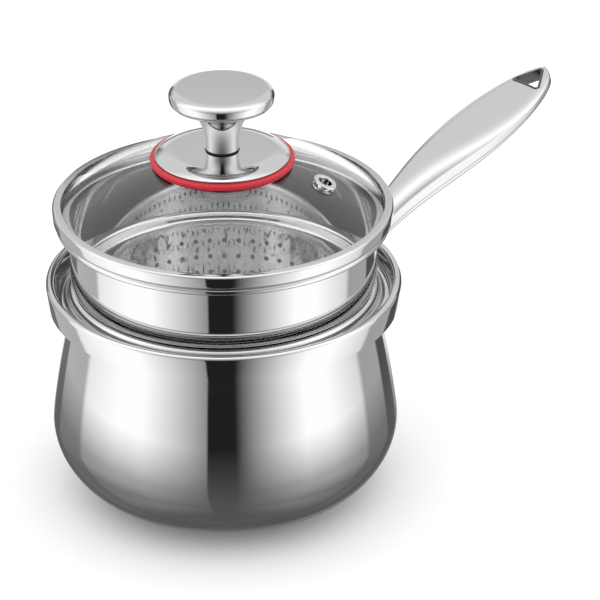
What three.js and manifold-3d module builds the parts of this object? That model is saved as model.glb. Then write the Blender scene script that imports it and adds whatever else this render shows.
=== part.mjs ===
// Stovetop steamer pot: a bellied steel pot with one long hollow handle, a perforated steamer
// that hangs in its mouth, and a domed glass lid with a steel rim and a turned knob.
// Millimetres, +Z up. The pot stands on z = 0 around the Z axis and its handle points along +X.

import * as THREE from 'three';
import { mergeVertices } from 'three/addons/utils/BufferGeometryUtils.js';
import initManifold from 'manifold-3d';

const kernel = await initManifold();
kernel.setup();

// Fits
const SEAT = 0.3; // between pieces that touch
const LID_PLAY = 0.4; // between the lid's skirt and the steamer's wall

// Roundness of the turned pieces, in facets
const POT_FACETS = 36;
const STEAMER_FACETS = 28; // the lid has as many, so that its skirt fits the steamer's mouth
const PLATE_FACETS = 28;
const KNOB_FACETS = 24;
const SCREW_FACETS = 12;
const BEND_STEPS = 2;

// Sandwich base under the pot
const COVER_SHEET = 0.8;
const COVER_RADIUS = 62.5;
const COVER_CORNER = 2.4;
const CORE_THICKNESS = 2.6;

// Pot
const POT_SHEET = 1;
const POT_HEIGHT = 127; // underside of its floor to its lip
const LIP_RADIUS = 100;
const LIP_ROLL = 0.75;
const APRON_HEIGHT = 15;
const APRON_TAPER = 2.7;
const TROUGH_ROUND = 4;
const MOUTH_RADIUS = 80.5;
const MOUTH_ROUND = 3;
const MOUTH_DROP = 3; // below the lip
const MOUTH_BACK = 200; // degrees at which the wall runs into the mouth's roll
const MOUTH_FRONT = 85; // degrees at which the roll runs into the trough
const NECK_RADIUS = 84.2; // level with the apron's edge
const NECK_LEAN = new THREE.Vector2(5, -8.8);
const BELLY_RADIUS = 98.5;
const BELLY_HEIGHT = 39;
const BELLY_SHOULDER = 8.8;
const BELLY_ROUND = 20;
const FLOOR_RADIUS = 64.1;
const FLOOR_ROUND = 15.8;

// Handle
const HANDLE_SHEET = 1;
const HANDLE_LENGTH = 185.5; // along its centre line
const HANDLE_ROOT_DROP = 11.4; // its centre line at the pot, below the apron's edge
const HANDLE_ROOT_REACH = 3.5; // saddle to the first section
const HANDLE_ROOT_PITCH = 31.6; // degrees above level
const HANDLE_END_PITCH = 19.75;
const HANDLE_BEND = 108; // length over which it levels out
const HANDLE_NECK = 22; // length before it widens
const HANDLE_ROOT_WIDTH = 16;
const HANDLE_WIDTH = 39.3;
const HANDLE_TIP = 59.8; // length of the rounded end
const HANDLE_ROOT_THICKNESS = 9.6;
const HANDLE_THICKNESS = 16;
const HANDLE_THICKEST = 83.5; // from the root
const HANDLE_END_THICKNESS = 7.2;
const HANDLE_SEAM = 0.33; // share of the thickness that the lower shell takes
const HANDLE_SIDE = 0.26; // share of the thickness that stands upright above the seam
const HANDLE_SQUARENESS = 0.85;
const HANDLE_STEPS = 10;
const HANDLE_STATIONS = 5;
const TIP_STATIONS = 6;
const TIP_FLAT = 0.15; // left off the very end
const TIP_WALL = 4;
const SADDLE_SHEET = 1.5;
const SADDLE_WIDTH = 44;
const SADDLE_HEIGHT = 22;
const SADDLE_CORNER = 8;
const TONGUE_LENGTH = 38;
const HANG_HOLE_ROUND = 2.5;
const HANG_HOLE_LENGTH = 12.5; // between its corner centres
const HANG_HOLE_WIDTH = 16;
const HANG_HOLE_FROM_TIP = 17.5; // tip to the corner centres nearest the pot
const LINER_WALL = 1;
const LINER_PROUD = 0.4;

// Steamer
const STEAMER_SHEET = 0.8;
const STEAMER_RADIUS = 86;
const STEAMER_RISE = 41.5; // seat to the top of the bead
const STEP_ROUND = 7;
const BEAD_RADIUS = 93.5;
const BEAD_ROLL = 1.6;
const BEAD_START = 110; // degrees
const BEAD_END = -130;
const FLARE_HEIGHT = 6.5;
const BASKET_DEPTH = 38; // seat to the underside of the floor
const BASKET_BEND = 2;
const BASKET_TAPER = 3.6;
const BASKET_CORNER = 4;
const HOLE_RADIUS = 1.4;
const HOLE_SIDES = 5;
const HOLE_COLUMNS = 2 * STEAMER_FACETS;
const HOLE_ROWS = 3;
const HOLE_FIRST_ROW = 11.5; // below the seat
const HOLE_ROW_PITCH = 9.7;
const FLOOR_RINGS = 2;
const FLOOR_RING_PITCH = 26;
const FLOOR_RING_HOLES = 6; // added with each ring

// Lid
const LID_RADIUS = 94.9;
const LID_SHEET = 0.8;
const LID_ROLL = 1.2;
const LID_LIP_WIDTH = 4.7;
const LID_SKIRT = 6;
const GLASS_THICKNESS = 4;
const GLASS_DOME = 148;
const GLASS_EDGE_PLAY = 0.7;
const GLASS_SHOULDER = 37; // where the dome turns down to the plate's seat
const GLASS_BORE_PLAY = 1.2; // round the screw
const GLASS_STEPS = 5;
const VENT_FLANGE = 6.8;
const VENT_BORE = 3.65;
const VENT_WALL = 0.7;
const VENT_OFFSET = 58.3;
const VENT_BEARING = -57; // degrees round from the handle

// Knob
const RING_RADIUS = 40;
const RING_HEIGHT = 2.7;
const RING_ROUND = 1;
const PLATE_RADIUS = 37.5;
const PLATE_SHEET = 0.8;
const PLATE_DISH = 9.1;
const PLATE_FLAT = 22;
const PLATE_EDGE = 3;
const FOOT_RADIUS = 20.6;
const FOOT_HEIGHT = 10.4;
const FOOT_EDGE = 0.7;
const FOOT_THROAT_RADIUS = 9.4;
const FOOT_THROAT_HEIGHT = 1.3;
const FOOT_STEM = 5.9; // length that is almost straight
const STEM_RADIUS = 9.2;
const SPACER_RADIUS = 9.3;
const SPACER_HEIGHT = 1.4;
const KNOB_RADIUS = 29.15;
const KNOB_FACE_RADIUS = 22.5;
const KNOB_HEIGHT = 34.1;
const KNOB_CROWN = 2;
const KNOB_RIM = 5.8;
const KNOB_UNDER_RADIUS = 24;
const KNOB_STEM = 14;
const KNOB_THROAT_RADIUS = 13.5;
const KNOB_THROAT_HEIGHT = 24;
const SCREW_RADIUS = 2.5;
const SCREW_HEAD_RADIUS = 5;
const SCREW_HEAD_HEIGHT = 2.6;
const SCREW_BITE = 16; // reach into the knob
const WASHER_RADIUS = 8;
const WASHER_HEIGHT = 1;
const CLAMP_RADIUS = 20;
const CLAMP_SHEET = 1.2;

// Levels that follow from the sizes above
const coreZ = COVER_SHEET + SEAT;
const potFloorZ = coreZ + CORE_THICKNESS + SEAT;
const lipZ = potFloorZ + POT_HEIGHT;
const crestZ = lipZ - MOUTH_DROP;
const apronZ = lipZ - APRON_HEIGHT;

const crest = new THREE.Vector2(MOUTH_RADIUS + POT_SHEET / 2 + MOUTH_ROUND, crestZ - POT_SHEET / 2 - MOUTH_ROUND);
const stepRadius = STEAMER_RADIUS - STEP_ROUND;
const seatSpan = STEP_ROUND + MOUTH_ROUND + POT_SHEET / 2 + SEAT;
const stepZ = crest.y + Math.sqrt(seatSpan ** 2 - (crest.x - stepRadius) ** 2);
const seatZ = stepZ - STEP_ROUND;
const beadZ = seatZ + STEAMER_RISE;
const basketZ = seatZ - BASKET_DEPTH;

const shelfZ = beadZ + SEAT;
const glassRadius = LID_RADIUS - LID_SHEET - GLASS_EDGE_PLAY;
const glassSpan = Math.asin(glassRadius / GLASS_DOME);
const domeZ = shelfZ + LID_SHEET + SEAT - (GLASS_DOME - GLASS_THICKNESS) * Math.cos(glassSpan);
const domeTop = (radius) => domeZ + Math.sqrt(GLASS_DOME ** 2 - radius ** 2);
const lidLipRadius = LID_RADIUS - LID_LIP_WIDTH;
const lidTopZ = domeTop(lidLipRadius) + SEAT + LID_SHEET;

const ringUnderZ = domeTop(GLASS_SHOULDER) + SEAT;
const ringTopZ = ringUnderZ + RING_HEIGHT;
const plateZ = ringTopZ + SEAT - PLATE_DISH;
const footZ = plateZ + PLATE_SHEET + SEAT;
const spacerZ = footZ + FOOT_HEIGHT + SEAT;
const knobZ = spacerZ + SPACER_HEIGHT + SEAT;
const glassSeatZ = plateZ - SEAT;
const clampZ = glassSeatZ - GLASS_THICKNESS - SEAT - CLAMP_SHEET;
const washerZ = clampZ - SEAT - WASHER_HEIGHT;
const screwZ = washerZ - SEAT;
const screwBore = SCREW_RADIUS + SEAT;

// Profiles: lists of points (radius, height)
const at = (radius, height) => new THREE.Vector2(radius, height);

function arc(centre, radius, fromDegrees, toDegrees, steps = BEND_STEPS) {
  const points = [];
  for (let i = 0; i <= steps; i += 1) {
    const angle = THREE.MathUtils.degToRad(THREE.MathUtils.lerp(fromDegrees, toDegrees, i / steps));
    points.push(at(centre.x + radius * Math.cos(angle), centre.y + radius * Math.sin(angle)));
  }
  return points;
}

function bend(start, startControl, endControl, end, steps) {
  return new THREE.CubicBezierCurve(start, startControl, endControl, end).getPoints(steps);
}

function withoutRepeats(points) {
  return points.filter((point, i) => i === 0 || point.distanceTo(points[i - 1]) > 0.01);
}

// One side of a sheet: the middle line moved sideways, with mitred corners.
function besideLine(points, distance) {
  return points.map((point, i) => {
    const before = points[Math.max(i - 1, 0)];
    const after = points[Math.min(i + 1, points.length - 1)];
    const into = point.clone().sub(before).normalize();
    const out = after.clone().sub(point).normalize();
    if (i === 0) into.copy(out);
    if (i === points.length - 1) out.copy(into);
    const side = into.add(out).normalize();
    const reach = distance / Math.max(side.dot(out), 0.3);
    const moved = at(point.x - side.y * reach, point.y + side.x * reach);
    return point.x === 0 ? moved.setX(0) : moved;
  });
}

function sheetOutline(middleLine, thickness) {
  const line = withoutRepeats(middleLine);
  const oneSide = besideLine(line, thickness / 2);
  const otherSide = besideLine(line, -thickness / 2).reverse();
  const outline = [...oneSide, ...otherSide];
  return line[0].x === 0 ? outline : [...outline, outline[0].clone()];
}

// Solids
function welded(geometry) {
  const bare = new THREE.BufferGeometry();
  bare.setAttribute('position', geometry.getAttribute('position'));
  if (geometry.index) bare.setIndex(geometry.index);
  const merged = mergeVertices(bare, 1e-4);
  const kept = [];
  const index = merged.index.array;
  for (let i = 0; i < index.length; i += 3) {
    const [a, b, c] = [index[i], index[i + 1], index[i + 2]];
    if (a !== b && b !== c && c !== a) kept.push(a, b, c);
  }
  merged.setIndex(kept);
  return merged;
}

function turned(outline, facets) {
  const clockwise = THREE.ShapeUtils.isClockWise(outline);
  const points = clockwise ? [...outline].reverse() : outline;
  const geometry = new THREE.LatheGeometry(points, facets);
  geometry.rotateX(Math.PI / 2);
  return welded(geometry);
}

function toSolid(geometry) {
  const mesh = welded(geometry);
  return new kernel.Manifold(new kernel.Mesh({
    numProp: 3,
    vertProperties: new Float32Array(mesh.getAttribute('position').array),
    triVerts: new Uint32Array(mesh.index.array),
  }));
}

function toGeometry(solid) {
  const mesh = solid.asOriginal().simplify(0.001).getMesh();
  const geometry = new THREE.BufferGeometry();
  geometry.setAttribute('position', new THREE.BufferAttribute(new Float32Array(mesh.vertProperties), 3));
  geometry.setIndex(new THREE.BufferAttribute(new Uint32Array(mesh.triVerts), 1));
  return geometry;
}

const cut = (body, tools) => toGeometry(kernel.Manifold.difference([body, ...tools].map(toSolid)));
const join = (pieces) => toGeometry(kernel.Manifold.union(pieces.map(toSolid)));
const common = (pieces) => toGeometry(kernel.Manifold.intersection(pieces.map(toSolid)));

// A solid through flat sections, each a closed list of points in its own frame.
function lofted(outlines, frames) {
  const count = outlines[0].length;
  const positions = [];
  outlines.forEach((outline, i) => {
    outline.forEach((p) => positions.push(...new THREE.Vector3(p.x, p.y, 0).applyMatrix4(frames[i]).toArray()));
  });
  const index = [];
  for (let i = 0; i + 1 < outlines.length; i += 1) {
    for (let j = 0; j < count; j += 1) {
      const a = i * count + j;
      const b = i * count + ((j + 1) % count);
      index.push(a, b, b + count, a, b + count, a + count);
    }
  }
  const last = (outlines.length - 1) * count;
  THREE.ShapeUtils.triangulateShape(outlines[0], []).forEach(([a, b, c]) => index.push(a, c, b));
  THREE.ShapeUtils.triangulateShape(outlines.at(-1), []).forEach(([a, b, c]) => {
    index.push(last + a, last + b, last + c);
  });
  const geometry = new THREE.BufferGeometry();
  geometry.setAttribute('position', new THREE.Float32BufferAttribute(positions, 3));
  geometry.setIndex(index);
  return welded(geometry);
}

// Pot
function potWall() {
  const half = POT_SHEET / 2;
  const floor = at(FLOOR_RADIUS, potFloorZ + half);
  const belly = at(BELLY_RADIUS - half, potFloorZ + BELLY_HEIGHT);
  const neck = at(NECK_RADIUS - half, apronZ);
  const lower = bend(floor, at(floor.x + FLOOR_ROUND, floor.y), at(belly.x, belly.y - BELLY_ROUND), belly, 3 * BEND_STEPS);
  const upper = bend(belly, at(belly.x, belly.y + BELLY_SHOULDER), neck.clone().add(NECK_LEAN), neck, 2 * BEND_STEPS);
  return { lower, upper };
}

function potBody() {
  const { lower, upper } = potWall();
  const half = POT_SHEET / 2;
  const roll = at(LIP_RADIUS - half - LIP_ROLL, lipZ - half - LIP_ROLL);
  const trough = at(roll.x - LIP_ROLL - TROUGH_ROUND, roll.y);
  const middleLine = [
    at(0, potFloorZ + half),
    ...lower,
    ...upper,
    ...arc(crest, MOUTH_ROUND, MOUTH_BACK, MOUTH_FRONT, BEND_STEPS + 1),
    ...arc(trough, TROUGH_ROUND, MOUTH_FRONT - 180, 0),
    ...arc(roll, LIP_ROLL, 180, 0),
    at(LIP_RADIUS - half - APRON_TAPER, apronZ),
  ];
  return turned(sheetOutline(middleLine, POT_SHEET), POT_FACETS);
}

function baseCover() {
  const half = COVER_SHEET / 2;
  const corner = at(COVER_RADIUS - half - COVER_CORNER, half + COVER_CORNER);
  const middleLine = [at(0, half), ...arc(corner, COVER_CORNER, -90, 0), at(COVER_RADIUS - half, potFloorZ - SEAT)];
  return turned(sheetOutline(middleLine, COVER_SHEET), POT_FACETS);
}

function baseCore() {
  const radius = COVER_RADIUS - COVER_SHEET - COVER_CORNER;
  const top = coreZ + CORE_THICKNESS;
  return turned([at(0, coreZ), at(radius, coreZ), at(radius, top), at(0, top)], POT_FACETS);
}

// Handle: its sections stand square to a centre line that climbs away from the pot.
const handleRootZ = apronZ - HANDLE_ROOT_DROP;
const saddleGap = POT_SHEET / 2 + SEAT;
const wallRadius = (() => {
  const { upper } = potWall();
  const i = upper.findIndex((point) => point.y > handleRootZ);
  const share = (handleRootZ - upper[i - 1].y) / (upper[i].y - upper[i - 1].y);
  return THREE.MathUtils.lerp(upper[i - 1].x, upper[i].x, share);
})();
const handleRoot = at(wallRadius + saddleGap + SADDLE_SHEET + HANDLE_ROOT_REACH, handleRootZ);

// Point at a distance along the centre line, whose pitch eases from the root's to the end's.
const handlePitch = (distance) => THREE.MathUtils.degToRad(THREE.MathUtils.lerp(
  HANDLE_ROOT_PITCH, HANDLE_END_PITCH, THREE.MathUtils.smoothstep(distance, 0, HANDLE_BEND),
));

function handlePoint(distance) {
  const count = Math.ceil(Math.abs(distance)) + 1;
  const step = distance / count;
  const point = new THREE.Vector3(handleRoot.x, 0, handleRoot.y);
  for (let i = 0; i < count; i += 1) {
    const pitch = handlePitch((i + 0.5) * step);
    point.x += step * Math.cos(pitch);
    point.z += step * Math.sin(pitch);
  }
  return point;
}

function handleFrame(distance) {
  const pitch = handlePitch(distance);
  const along = new THREE.Vector3(Math.cos(pitch), 0, Math.sin(pitch));
  const across = new THREE.Vector3(0, 1, 0);
  const up = new THREE.Vector3().crossVectors(along, across);
  return new THREE.Matrix4().makeBasis(across, up, along).setPosition(handlePoint(distance));
}

function handleHalfWidth(distance) {
  const taperEnd = HANDLE_LENGTH - HANDLE_TIP;
  if (distance > taperEnd) {
    return (HANDLE_WIDTH / 2) * Math.sqrt(Math.max(1 - ((distance - taperEnd) / HANDLE_TIP) ** 2, 0));
  }
  const share = THREE.MathUtils.smoothstep(distance, HANDLE_NECK, taperEnd);
  return THREE.MathUtils.lerp(HANDLE_ROOT_WIDTH, HANDLE_WIDTH, share) / 2;
}

function handleThickness(distance) {
  if (distance > HANDLE_THICKEST) {
    const share = THREE.MathUtils.smoothstep(distance, HANDLE_THICKEST, HANDLE_LENGTH);
    return THREE.MathUtils.lerp(HANDLE_THICKNESS, HANDLE_END_THICKNESS, share);
  }
  const share = THREE.MathUtils.smoothstep(distance, 0, HANDLE_THICKEST);
  return THREE.MathUtils.lerp(HANDLE_ROOT_THICKNESS, HANDLE_THICKNESS, share);
}

// Half sections: a crown on upright sides above the seam, and a shallow belly below it, drawn in by an inset.
function handleSection(distance, inset, part, seamGap) {
  const halfWidth = handleHalfWidth(distance) - inset;
  const thickness = handleThickness(distance);
  const side = thickness * HANDLE_SIDE;
  const crown = thickness * (1 - HANDLE_SEAM) - side - inset;
  const belly = thickness * HANDLE_SEAM - inset;
  const squared = (value) => Math.sign(value) * Math.abs(value) ** HANDLE_SQUARENESS;
  const half = (from, low, height) => arc(at(0, 0), 1, from, from + 180, HANDLE_STEPS)
    .map((p) => at(squared(p.x) * halfWidth, low + squared(p.y) * height));
  const above = half(0, side, crown);
  const below = half(180, 0, belly);
  if (part === 'whole') return withoutRepeats([...above, ...below]);
  if (part === 'upper') return [at(halfWidth, seamGap), ...above, at(-halfWidth, seamGap)];
  return below.map((p) => at(p.x, Math.min(p.y, -seamGap)));
}

function handleStations(from, to) {
  const taperEnd = HANDLE_LENGTH - HANDLE_TIP;
  const straight = Array.from({ length: HANDLE_STATIONS }, (_, i) => (i / HANDLE_STATIONS) * taperEnd);
  const rounded = Array.from({ length: TIP_STATIONS }, (_, i) => {
    return taperEnd + HANDLE_TIP * Math.sin((i / TIP_STATIONS) * (Math.PI / 2));
  });
  const inside = [...straight, ...rounded].filter((distance) => distance > from + 1 && distance < to - 1);
  return [from, ...inside, to];
}

function handleSolid(from, to, inset, part, seamGap = 0) {
  const stations = handleStations(from, to);
  const outlines = stations.map((distance) => handleSection(distance, inset, part, seamGap));
  return lofted(outlines, stations.map(handleFrame));
}

function saddleLine(extraGap) {
  const { upper } = potWall();
  return besideLine(withoutRepeats(upper), -(saddleGap + extraGap));
}

// All that lies nearer the pot than a layer of the saddle, for the ends that are coped to it.
function withinSaddle(extraGap) {
  const line = saddleLine(extraGap);
  return turned([at(0, line[0].y), ...line, at(0, line.at(-1).y)], POT_FACETS);
}

function hangHole(inset, from, depth) {
  const near = HANDLE_LENGTH - HANG_HOLE_FROM_TIP;
  const corners = [at(HANG_HOLE_WIDTH / 2, 0), at(-HANG_HOLE_WIDTH / 2, 0), at(0, -HANG_HOLE_LENGTH)];
  const shape = new THREE.Shape();
  const points = corners.flatMap((corner, i) => {
    const before = corners[(i + 2) % 3];
    const after = corners[(i + 1) % 3];
    const into = THREE.MathUtils.radToDeg(corner.clone().sub(before).angle()) - 90;
    const turn = (THREE.MathUtils.radToDeg(after.clone().sub(corner).angle()) - 90 - into + 720) % 360;
    return arc(corner, HANG_HOLE_ROUND - inset, into, into + turn, BEND_STEPS + 1);
  });
  shape.setFromPoints(points);
  const geometry = new THREE.ExtrudeGeometry(shape, { depth, bevelEnabled: false });
  geometry.translate(0, 0, from);
  const facingUp = new THREE.Matrix4().makeRotationX(-Math.PI / 2);
  return geometry.applyMatrix4(handleFrame(near).multiply(facingUp));
}

function handleShells() {
  const past = HANDLE_ROOT_REACH + SADDLE_SHEET;
  const tip = HANDLE_LENGTH - TIP_FLAT;
  const hollow = handleSolid(-past - 1, HANDLE_LENGTH - TIP_WALL, HANDLE_SHEET, 'whole');
  const hole = hangHole(0, -HANDLE_ROOT_THICKNESS, 2 * HANDLE_ROOT_THICKNESS);
  const tools = [hollow, hole, withinSaddle(SADDLE_SHEET + SEAT)];
  const upper = cut(handleSolid(-past, tip, 0, 'upper', SEAT / 2), tools);
  const lower = cut(handleSolid(-past, tip, 0, 'lower', SEAT / 2), tools);
  return { upper, lower };
}

// The liner ends a little proud of both shells and follows their curve.
function hangHoleLiner() {
  const reach = 2 * HANDLE_THICKNESS;
  const sleeve = cut(hangHole(SEAT, -reach / 2, reach), [hangHole(SEAT + LINER_WALL, -reach, 2 * reach)]);
  const skin = handleSolid(HANDLE_LENGTH - HANDLE_TIP, HANDLE_LENGTH - TIP_FLAT, -LINER_PROUD, 'whole');
  return common([sleeve, skin]);
}

function handleBracket() {
  const ring = turned(sheetOutline(saddleLine(SADDLE_SHEET / 2), SADDLE_SHEET), POT_FACETS);
  const shape = new THREE.Shape();
  const [x, y, r] = [SADDLE_HEIGHT / 2, SADDLE_WIDTH / 2, SADDLE_CORNER];
  const corners = [at(x - r, y - r), at(r - x, y - r), at(r - x, r - y), at(x - r, r - y)];
  shape.setFromPoints(corners.flatMap((corner, i) => arc(corner, r, 90 * i, 90 * (i + 1))));
  const window = new THREE.ExtrudeGeometry(shape, { depth: LIP_RADIUS, bevelEnabled: false });
  window.rotateY(Math.PI / 2);
  window.translate(0, 0, handleRootZ);
  const past = HANDLE_ROOT_REACH + SADDLE_SHEET / 2;
  const bar = handleSolid(-past, TONGUE_LENGTH, HANDLE_SHEET + SEAT, 'whole');
  const tongue = cut(bar, [withinSaddle(SADDLE_SHEET / 2)]);
  return join([common([ring, window]), tongue]);
}

// Steamer
const basketTop = stepRadius - BASKET_BEND;
const basketRadius = (depth) => basketTop - BASKET_TAPER * (depth / BASKET_DEPTH);

function perforation(length) {
  return new THREE.CylinderGeometry(HOLE_RADIUS, HOLE_RADIUS, length, HOLE_SIDES);
}

function wallPerforations() {
  const tools = [];
  for (let row = 0; row < HOLE_ROWS; row += 1) {
    const depth = HOLE_FIRST_ROW + row * HOLE_ROW_PITCH;
    for (let column = 0; column < HOLE_COLUMNS; column += 1) {
      const angle = ((column + 0.5) / HOLE_COLUMNS) * 2 * Math.PI;
      const hole = perforation(4 * BASKET_BEND);
      hole.rotateZ(Math.PI / 2);
      hole.translate(basketRadius(depth), 0, seatZ - depth);
      tools.push(hole.rotateZ(angle));
    }
  }
  return tools;
}

function floorPerforations() {
  const tools = [];
  for (let ring = 0; ring <= FLOOR_RINGS; ring += 1) {
    const count = Math.max(ring * FLOOR_RING_HOLES, 1);
    for (let i = 0; i < count; i += 1) {
      const angle = ((i + 0.5) / count) * 2 * Math.PI;
      const hole = perforation(4 * STEAMER_SHEET);
      hole.rotateX(Math.PI / 2);
      hole.translate(ring * FLOOR_RING_PITCH, 0, basketZ + STEAMER_SHEET / 2);
      tools.push(hole.rotateZ(angle));
    }
  }
  return tools;
}

// The seam between basket and collar lies under the step, out of sight in the pot's mouth.
const bendZ = seatZ + STEAMER_SHEET / 2 - BASKET_BEND;
const seamZ = bendZ - STEAMER_SHEET;

function steamerBasket() {
  const half = STEAMER_SHEET / 2;
  const corner = at(basketRadius(BASKET_DEPTH) - BASKET_CORNER, basketZ + half + BASKET_CORNER);
  const middleLine = [
    at(0, basketZ + half),
    ...arc(corner, BASKET_CORNER, -90, 0),
    at(basketTop, seamZ - SEAT),
  ];
  const blank = turned(sheetOutline(middleLine, STEAMER_SHEET), STEAMER_FACETS);
  return cut(blank, [...wallPerforations(), ...floorPerforations()]);
}

function steamerCollar() {
  const half = STEAMER_SHEET / 2;
  const wall = STEAMER_RADIUS - half;
  const bead = at(BEAD_RADIUS - half - BEAD_ROLL, beadZ - half - BEAD_ROLL);
  const curl = arc(bead, BEAD_ROLL, BEAD_START, BEAD_END, 2 * BEND_STEPS - 1);
  const flare = bend(
    at(wall, beadZ - FLARE_HEIGHT), at(wall, bead.y),
    at(bead.x - 2 * BEAD_ROLL, bead.y + BEAD_ROLL / 2), curl[0], 2 * BEND_STEPS,
  );
  const middleLine = [
    at(basketTop, seamZ),
    ...arc(at(stepRadius, bendZ), BASKET_BEND, 180, 90),
    ...arc(at(stepRadius, stepZ), STEP_ROUND - half, -90, 0, BEND_STEPS + 1),
    ...flare,
    ...curl,
  ];
  return turned(sheetOutline(middleLine, STEAMER_SHEET), STEAMER_FACETS);
}

// Lid
function lidRim() {
  const half = LID_SHEET / 2;
  const band = LID_RADIUS - half;
  const skirt = STEAMER_RADIUS - STEAMER_SHEET - LID_PLAY - half;
  const middleLine = [
    at(lidLipRadius, lidTopZ - half),
    ...arc(at(band - LID_ROLL, lidTopZ - half - LID_ROLL), LID_ROLL, 90, 0),
    ...arc(at(band - LID_SHEET, shelfZ + half + LID_SHEET), LID_SHEET, 0, -90, 2),
    ...arc(at(skirt + LID_SHEET, shelfZ + half - LID_SHEET), LID_SHEET, 90, 180, 2),
    at(skirt, shelfZ - LID_SKIRT),
  ];
  return turned(sheetOutline(middleLine, LID_SHEET), STEAMER_FACETS);
}

const ventTurn = THREE.MathUtils.degToRad(VENT_BEARING);
const ventTilt = Math.asin(VENT_OFFSET / GLASS_DOME);

// Stands a piece, drawn upright at the top of the dome, square to the glass at the vent.
function atVent(geometry) {
  return geometry.translate(0, 0, GLASS_DOME).rotateY(ventTilt).rotateZ(ventTurn).translate(0, 0, domeZ);
}

// The dome turns down at its shoulder to a flat seat for the knob's dished plate.
function lidGlass() {
  const degrees = (radius) => 90 - THREE.MathUtils.radToDeg(Math.asin(radius / GLASS_DOME));
  const top = [
    at(screwBore + GLASS_BORE_PLAY, glassSeatZ),
    at(PLATE_FLAT, glassSeatZ),
    ...arc(at(0, domeZ), GLASS_DOME, degrees(GLASS_SHOULDER), degrees(glassRadius), GLASS_STEPS),
  ];
  const outline = [...top, ...besideLine(top, -GLASS_THICKNESS).reverse()];
  outline.push(outline[0].clone());
  const ventBore = VENT_BORE + VENT_WALL + SEAT;
  const hole = new THREE.CylinderGeometry(ventBore, ventBore, 4 * GLASS_THICKNESS, SCREW_FACETS);
  return cut(turned(outline, STEAMER_FACETS), [atVent(hole.rotateX(Math.PI / 2))]);
}

function ventEyelet() {
  const tube = VENT_BORE + VENT_WALL;
  const upper = SEAT;
  const lower = -GLASS_THICKNESS - 2 * SEAT;
  const outline = [
    at(VENT_BORE, upper + VENT_WALL),
    at(VENT_FLANGE - VENT_WALL, upper + VENT_WALL),
    at(VENT_FLANGE, upper),
    at(tube, upper),
    at(tube, lower),
    at(VENT_FLANGE - VENT_WALL, lower),
    at(VENT_FLANGE - VENT_WALL, lower - VENT_WALL),
    at(VENT_BORE, lower - VENT_WALL),
  ];
  outline.push(outline[0].clone());
  return atVent(turned(outline, SCREW_FACETS));
}

// Knob stack, from the clamp under the glass to the head
const ringed = (inner, outer, low, high) => {
  const outline = [at(inner, low), at(outer, low), at(outer, high), at(inner, high), at(inner, low)];
  return turned(outline, KNOB_FACETS);
};

function plateRing() {
  const inner = PLATE_RADIUS - PLATE_EDGE + SEAT;
  const outline = [
    at(inner, ringUnderZ),
    at(GLASS_SHOULDER, ringUnderZ),
    at(RING_RADIUS, domeTop(RING_RADIUS) + SEAT),
    at(RING_RADIUS, ringTopZ - RING_ROUND),
    at(RING_RADIUS - RING_ROUND, ringTopZ),
    at(inner, ringTopZ),
  ];
  outline.push(outline[0].clone());
  return turned(outline, PLATE_FACETS);
}

function knobPlate() {
  const low = plateZ + PLATE_SHEET / 2;
  const high = low + PLATE_DISH;
  const middleLine = [
    at(screwBore, low),
    at(PLATE_FLAT, low),
    at(PLATE_RADIUS - PLATE_EDGE, high),
    at(PLATE_RADIUS, high),
  ];
  return turned(sheetOutline(middleLine, PLATE_SHEET), PLATE_FACETS);
}

function knobFoot() {
  const top = footZ + FOOT_HEIGHT;
  const flare = bend(
    at(FOOT_RADIUS, footZ + FOOT_EDGE), at(FOOT_THROAT_RADIUS, footZ + FOOT_THROAT_HEIGHT),
    at(STEM_RADIUS, top - FOOT_STEM), at(STEM_RADIUS, top), 2 * BEND_STEPS + 1,
  );
  const outline = [at(screwBore, footZ), at(FOOT_RADIUS, footZ), ...flare, at(screwBore, top), at(screwBore, footZ)];
  return turned(outline, KNOB_FACETS);
}

function knobHead() {
  const top = knobZ + KNOB_HEIGHT;
  const widest = top - KNOB_CROWN;
  const under = at(KNOB_UNDER_RADIUS, widest - KNOB_RIM);
  const boreTop = knobZ + SCREW_BITE + SEAT;
  const stem = bend(
    at(STEM_RADIUS, knobZ), at(STEM_RADIUS, knobZ + KNOB_STEM),
    at(KNOB_THROAT_RADIUS, knobZ + KNOB_THROAT_HEIGHT), under, 6,
  );
  const rim = bend(
    under, at(KNOB_RADIUS, under.y), at(KNOB_RADIUS, widest - KNOB_RIM / 2), at(KNOB_RADIUS, widest), 2 * BEND_STEPS,
  );
  const shoulder = (KNOB_FACE_RADIUS + KNOB_RADIUS) / 2;
  const crown = bend(
    at(KNOB_RADIUS, widest), at(KNOB_RADIUS, top - KNOB_CROWN / 2), at(shoulder, top), at(KNOB_FACE_RADIUS, top),
    2 * BEND_STEPS,
  );
  const outline = [
    at(0, boreTop),
    at(screwBore, boreTop),
    at(screwBore, knobZ),
    ...stem,
    ...rim,
    ...crown,
    at(0, top),
  ];
  return turned(withoutRepeats(outline), KNOB_FACETS);
}

function knobScrew() {
  const head = screwZ - SCREW_HEAD_HEIGHT;
  const top = knobZ + SCREW_BITE;
  const outline = [
    at(0, head),
    at(SCREW_HEAD_RADIUS - SCREW_HEAD_HEIGHT / 2, head),
    at(SCREW_HEAD_RADIUS, screwZ - SCREW_HEAD_HEIGHT / 2),
    at(SCREW_HEAD_RADIUS, screwZ),
    at(SCREW_RADIUS, screwZ),
    at(SCREW_RADIUS, top),
    at(0, top),
  ];
  return turned(outline, SCREW_FACETS);
}

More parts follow.
